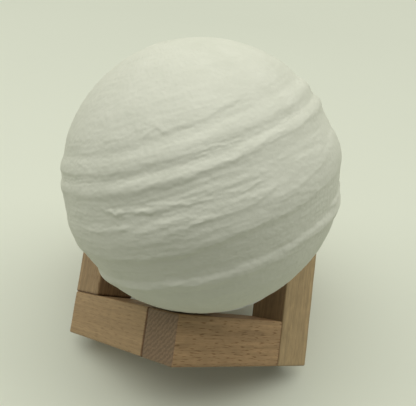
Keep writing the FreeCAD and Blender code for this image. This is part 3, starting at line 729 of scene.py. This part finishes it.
# Noise in the wood: number of patches in a metre along and across the stick, and detail
FIBRES = (16.0, 620.0, 4.0)
BANDS = (5.0, 90.0, 2.0)
MOTTLE = (150.0, 300.0, 2.0)
DASHES = (60.0, 900.0, 2.0)
FLECKS = (230.0, 1900.0, 0.6)
# How much each of them, and the growth rings, lightens and darkens the wood
FIBRE_STRENGTH = 0.13
BAND_STRENGTH = 0.08
MOTTLE_STRENGTH = 0.075
DASH_STRENGTH = 0.07
RING_STRENGTH = 0.03
# Values of the flecks' noise between which a fleck turns to plain wood
FLECK_EDGE = (0.30, 0.42)
# Multipliers of the end grain's rings and pores, and the cosines between which a face turns to an end
END_RINGS = (0.86, 1.12)
END_PORES = (0.80, 1.16)
END_FACING = (0.6, 0.9)
# How far each next stick is moved in the noise
SEED_SHIFT = (0.37, 0.11, 0.23)
# Each stick's tint, the place of its pith across the stick in mm, and the strength of its ray flecks
# and of its figure
STICK_WOOD = {
    "right_foot_stick": ((0.94, 0.99, 0.98), (11, 75), 0.25, 1.2),
    "right_head_stick": ((0.84, 0.79, 0.75), (62, -46), 0.80, 1.3),
    "left_foot_stick": ((0.98, 0.97, 0.96), (-50, 16), 0.40, 0.8),
    "left_head_stick": ((0.84, 0.83, 0.83), (48, 40), 0.60, 1.2),
    "rear_foot_stick": ((0.97, 0.95, 0.93), (-30, 52), 0.45, 1.1),
    "rear_head_stick": ((1.0, 1.0, 0.98), (60, 8), 0.25, 0.9),
}
# The same for the dowels, and their place in the noise
DOWEL_WOOD = ((1.0, 1.0, 1.0), (50, 50), 0.2, 1.0)
DOWEL_SEED = 9.0


def beech(name, stick, seed, tint, pith, fleck, figure):
    """Oiled beech along a stick's own X axis: growth rings round a pith beside the stick, fine fibres, short dark
    ray flecks, a dark seam where the stick's first end is glued on, partly a glue line and partly painted shade of
    the joint's groove, painted shade on the faces that look into the ring, and darker end grain."""
    material, shader, add, link = new_material(name)
    coordinates = add("TexCoord")
    frame_place = coordinates.outputs["Object"]
    normal = coordinates.outputs["Normal"]
    to_stick = stick.inverted()
    along_stick = add("Mapping", {"Vector": frame_place, "Location": to_stick.translation,
                                  "Rotation": to_stick.to_euler()})
    place = along_stick.outputs["Vector"]
    shifted = add("Mapping", {"Vector": place, "Location": scaled(SEED_SHIFT, seed)})

    def grain(along, across, detail):
        """Noise stretched along the stick."""
        stretched = add("Mapping", {"Vector": shifted.outputs["Vector"],
                                    "Scale": (along, across, across)})
        noise = add("TexNoise", {"Vector": stretched.outputs["Vector"], "Scale": 1.0,
                                 "Detail": detail, "Roughness": 0.6})
        return noise.outputs["Fac"]

    def shaded(colour, factor, darker, lighter, low=0.3, high=0.7):
        """The colour multiplied by a tone that goes from the darker to the lighter one."""
        tone = ramp(add, factor, [(low, darker), (high, lighter)])
        return mix_colour(add, 1.0, colour, tone, "MULTIPLY")

    fibres = grain(*FIBRES)
    bands = grain(*BANDS)
    mottle = grain(*MOTTLE)
    dashes = grain(*DASHES)
    flecks = grain(*FLECKS)
    round_pith = add("Mapping", {"Vector": place, "Location": (0.0, -pith[0] * MM, -pith[1] * MM),
                                 "Scale": (0.03, 1.0, 1.0)})
    waves = add("TexWave", {"Vector": round_pith.outputs["Vector"], "Scale": 165.0,
                            "Distortion": 5.0, "Detail": 3.0, "Detail Scale": 3.0,
                            "Detail Roughness": 0.6}, wave_type="RINGS", rings_direction="X")
    rings = waves.outputs["Fac"]

    base = tinted(BEECH, tint)
    contrast = FIBRE_STRENGTH * figure
    colour = ramp(add, fibres, [(0.28, scaled(base, 1 - contrast)), (0.75, scaled(base, 1 + contrast))])
    for factor, strength in ((bands, BAND_STRENGTH), (mottle, MOTTLE_STRENGTH),
                             (dashes, DASH_STRENGTH), (rings, RING_STRENGTH)):
        colour = shaded(colour, factor, grey(1 - strength * figure), grey(1 + strength * figure))
    fleck_colour = tuple(1 - fleck * (1 - value) for value in FLECK_TINT)
    colour = shaded(colour, flecks, fleck_colour, grey(1.0), *FLECK_EDGE)

    # Seam at the glued end: a dark glue line and painted shade of the joint's groove
    along = add("SeparateXYZ", {"Vector": place}).outputs["X"]
    open_wood = add("MapRange", {"Value": along, "From Min": SEAM_FROM, "From Max": SEAM_TO})
    colour = shaded(colour, open_wood.outputs["Result"], SEAM_GLUE_AND_SHADE, grey(1.0), 0.0, 1.0)

    # Painted shade on the faces that look into the ring, under the globe
    outward = add("VectorMath", {0: frame_place, 1: (1.0, 1.0, 0.0)}, operation="MULTIPLY")
    radial = add("VectorMath", {0: outward.outputs["Vector"]}, operation="NORMALIZE")
    facing_out = add("VectorMath", {0: normal, 1: radial.outputs["Vector"]}, operation="DOT_PRODUCT")
    outside_painted_shade = add("MapRange", {"Value": facing_out.outputs["Value"], "From Min": PAINTED_SHADE_FACING[0],
                             "From Max": PAINTED_SHADE_FACING[1]})
    colour = shaded(colour, outside_painted_shade.outputs["Result"], INNER_PAINTED_SHADE, grey(1.0), 0.0, 1.0)

    end_base = tinted(END_GRAIN, tint)
    pores = add("TexNoise", {"Vector": place, "Scale": 1300.0, "Detail": 3.0, "Roughness": 0.75})
    end_colour = ramp(add, rings, [(0.1, scaled(end_base, END_RINGS[0])),
                                   (0.8, scaled(end_base, END_RINGS[1]))])
    end_colour = shaded(end_colour, pores.outputs["Fac"], grey(END_PORES[0]), grey(END_PORES[1]))
    facing_end = add("VectorMath", {0: normal, 1: stick.col[0].to_3d()}, operation="DOT_PRODUCT")
    endness = add("Math", {0: facing_end.outputs["Value"]}, operation="ABSOLUTE")
    end_share = ramp(add, endness.outputs[0], [(END_FACING[0], grey(0.0)), (END_FACING[1], grey(1.0))])
    link(mix_colour(add, end_share, colour, end_colour), shader.inputs["Base Color"])

    link(ramp(add, fibres, [(0.3, grey(0.66)), (0.7, grey(0.52))]), shader.inputs["Roughness"])
    bump = add("Bump", {"Height": fibres, "Strength": 0.25, "Distance": 0.12 * MM})
    link(bump.outputs["Normal"], shader.inputs["Normal"])
    shader.inputs["Specular IOR Level"].default_value = 0.35
    return material


# Materials of the small parts

# How much their grain lightens and darkens them, and how much it changes their roughness
MOULDED_CONTRAST = 0.06
MOULDED_ROUGHNESS = (0.9, 1.1)


def moulded(name, colour, roughness=0.45, metallic=0.0):
    """A small part's surface: a fine cast or brushed grain over one colour."""
    material, shader, add, link = new_material(name)
    place = add("TexCoord").outputs["Object"]
    noise = add("TexNoise", {"Vector": place, "Scale": 700.0, "Detail": 3.0, "Roughness": 0.6})
    grain = noise.outputs["Fac"]
    low = scaled(colour, 1 - MOULDED_CONTRAST)
    high = scaled(colour, 1 + MOULDED_CONTRAST)
    link(ramp(add, grain, [(0.35, low), (0.65, high)]), shader.inputs["Base Color"])
    smooth, rough = (grey(roughness * share) for share in MOULDED_ROUGHNESS)
    link(ramp(add, grain, [(0.3, smooth), (0.7, rough)]), shader.inputs["Roughness"])
    bump = add("Bump", {"Height": grain, "Strength": 0.12, "Distance": 0.1 * MM})
    link(bump.outputs["Normal"], shader.inputs["Normal"])
    shader.inputs["Metallic"].default_value = metallic
    return material


def slot_materials():
    """One material for each slot of the record that a kept node uses."""
    return {
        "dowel_beech": beech("dowel_beech", Matrix.Identity(4), DOWEL_SEED, *DOWEL_WOOD),
        "white_plastic": moulded("white_plastic", (0.76, 0.765, 0.70)),
        "button_plastic": moulded("button_plastic", (0.60, 0.61, 0.58), 0.3),
        "circuit_laminate": moulded("circuit_laminate", (0.02, 0.11, 0.04), 0.35),
        "led_board_metal": moulded("led_board_metal", (0.72, 0.72, 0.70), 0.4),
        "led_resin": moulded("led_resin", (0.80, 0.55, 0.08), 0.25),
        "black_plastic": moulded("black_plastic", (0.018, 0.018, 0.018), 0.5),
        "clear_plastic": moulded("clear_plastic", (0.70, 0.75, 0.78), 0.15),
        "screw_steel": moulded("screw_steel", (0.55, 0.55, 0.57), 0.32, metallic=1.0),
        "contact_brass": moulded("contact_brass", (0.70, 0.52, 0.22), 0.3, metallic=1.0),
        "cell_wrap": moulded("cell_wrap", (0.03, 0.08, 0.26), 0.25),
        "wire_sheath": moulded("wire_sheath", (0.35, 0.02, 0.015), 0.4),
    }


def dress_nodes():
    """Gives each node that stays its slot's material."""
    materials = slot_materials()
    for subpart in frame["record"]["subparts"]:
        material = materials.get(subpart["material_slot"])
        if material:
            data = frame["nodes"][subpart["node"]].data
            data.materials.clear()
            data.materials.append(material)


# Floor, light and camera

# Half the floor's side, and the distances between which it fades into the backdrop
FLOOR_HALF = 3.0
FADE_FROM = 0.35
FADE_TO = 1.1
BACKDROP = (0.630, 0.658, 0.525)
# The floor's colours in front and behind, painted light that makes it lighter in front and darker behind as the
# overhead light falls off, the places on Y where they hold, and its colour for the light that it throws back
FLOOR_PAINTED_LIGHT_FRONT = (0.800, 0.833, 0.672)
FLOOR_PAINTED_LIGHT_BACK = (0.690, 0.720, 0.578)
FRONT_PLACE = -0.10
BACK_PLACE = 0.35
FLOOR_BOUNCE = (0.52, 0.54, 0.45)
# One wide soft light overhead, and the even light of the room
KEY_POWER = 71.0
KEY_WIDTH = 7.6
KEY_DEPTH = 1.5
KEY_PLACE = Vector((-0.04, 0.37, 1.8))
WORLD_LEVEL = 0.20


def make_floor():
    """Pale paper with painted light, lighter in front and darker behind, a little darker for the light that it
    throws back than for the eye, and far away of the backdrop's own colour."""
    material, shader, add, link = new_material("floor_paper")
    place = add("TexCoord").outputs["Object"]
    # Painted light: the floor's colour grows lighter towards the front
    away = add("SeparateXYZ", {"Vector": place}).outputs["Y"]
    depth = add("MapRange", {"Value": away, "From Min": FRONT_PLACE, "From Max": BACK_PLACE})
    cloud = add("TexNoise", {"Vector": place, "Scale": 3.0, "Detail": 2.0})
    clouded = ramp(add, cloud.outputs["Fac"], [(0.3, grey(0.985)), (0.7, grey(1.015))])
    seen = mix_colour(add, depth.outputs["Result"], FLOOR_PAINTED_LIGHT_FRONT, FLOOR_PAINTED_LIGHT_BACK)
    seen = mix_colour(add, 1.0, seen, clouded, "MULTIPLY")
    ray = add("LightPath")
    either = add("Math", {0: ray.outputs["Is Camera Ray"], 1: ray.outputs["Is Glossy Ray"]},
                 operation="MAXIMUM")
    link(mix_colour(add, either.outputs[0], FLOOR_BOUNCE, seen), shader.inputs["Base Color"])
    shader.inputs["Roughness"].default_value = 0.9
    shader.inputs["Specular IOR Level"].default_value = 0.1
    distance = add("VectorMath", {0: place}, operation="LENGTH")
    far = add("MapRange", {"Value": distance.outputs["Value"], "From Min": FADE_FROM,
                           "From Max": FADE_TO}, interpolation_type="SMOOTHSTEP")
    share = add("Math", {0: far.outputs["Result"], 1: either.outputs[0]}, operation="MULTIPLY")
    glow = add("Emission", {"Color": (*BACKDROP, 1.0)})
    blend = add("MixShader", {0: share.outputs[0], 1: shader.outputs["BSDF"],
                              2: glow.outputs["Emission"]})
    link(blend.outputs[0], material.node_tree.nodes["Material Output"].inputs["Surface"])
    corners = [(-FLOOR_HALF, -FLOOR_HALF, 0), (FLOOR_HALF, -FLOOR_HALF, 0),
               (FLOOR_HALF, FLOOR_HALF, 0), (-FLOOR_HALF, FLOOR_HALF, 0)]
    floor = add_piece("floor", new_mesh("floor", corners, [(0, 1, 2, 3)]), material)


def make_light():
    """The soft light overhead, which is aimed at the globe."""
    lamp = bpy.data.lights.new("ceiling_light", "AREA")
    lamp.energy = KEY_POWER
    lamp.shape = "RECTANGLE"
    lamp.size = KEY_WIDTH
    lamp.size_y = KEY_DEPTH
    item = bpy.data.objects.new("ceiling_light", lamp)
    item.location = KEY_PLACE
    item.rotation_mode = "QUATERNION"
    item.rotation_quaternion = (globe_centre - KEY_PLACE).to_track_quat("-Z", "Y")
    bpy.context.scene.collection.objects.link(item)


def make_world():
    """The room's even light, which the eye, gloss and glass see as the backdrop's colour."""
    world = bpy.data.worlds.new("studio")
    world.use_nodes = True
    tree = world.node_tree
    room = tree.nodes["Background"]
    room.inputs["Color"].default_value = (1.0, 1.0, 1.0, 1.0)
    room.inputs["Strength"].default_value = WORLD_LEVEL
    backdrop = tree.nodes.new("ShaderNodeBackground")
    backdrop.inputs["Color"].default_value = (*BACKDROP, 1.0)
    ray = tree.nodes.new("ShaderNodeLightPath")
    seen = ray.outputs["Is Camera Ray"]
    for kind in ("Is Glossy Ray", "Is Transmission Ray"):
        either = tree.nodes.new("ShaderNodeMath")
        either.operation = "MAXIMUM"
        tree.links.new(seen, either.inputs[0])
        tree.links.new(ray.outputs[kind], either.inputs[1])
        seen = either.outputs[0]
    choice = tree.nodes.new("ShaderNodeMixShader")
    tree.links.new(seen, choice.inputs[0])
    tree.links.new(room.outputs[0], choice.inputs[1])
    tree.links.new(backdrop.outputs[0], choice.inputs[2])
    tree.links.new(choice.outputs[0], tree.nodes["World Output"].inputs["Surface"])
    bpy.context.scene.world = world


def make_camera():
    """The photograph's view."""
    lens = bpy.data.cameras.new("camera")
    lens.sensor_fit = "HORIZONTAL"
    lens.sensor_width = SENSOR_WIDTH
    lens.lens = FOCAL_PIXELS / IMAGE_WIDTH * SENSOR_WIDTH
    lens.clip_start = 0.01
    camera = bpy.data.objects.new("camera", lens)
    aim = (CAMERA_AIM - CAMERA_PLACE).to_track_quat("-Z", "Y")
    camera.location = CAMERA_PLACE
    camera.rotation_mode = "QUATERNION"
    camera.rotation_quaternion = aim @ Quaternion((0, 0, 1), CAMERA_ROLL)
    bpy.context.scene.collection.objects.link(camera)
    bpy.context.scene.camera = camera


make_globe(globe_plastic())
for number, (name, along, side, start) in enumerate(ring_of_sticks()):
    place = stick_place(along, side, start)
    wood = beech(name + "_beech", place, number + 1.0, *STICK_WOOD[name])
    make_stick(name, place, wood, number * EASE_PHASE)
dress_nodes()
make_floor()
make_light()
make_world()
make_camera()
bpy.context.scene.view_settings.view_transform = "Standard"
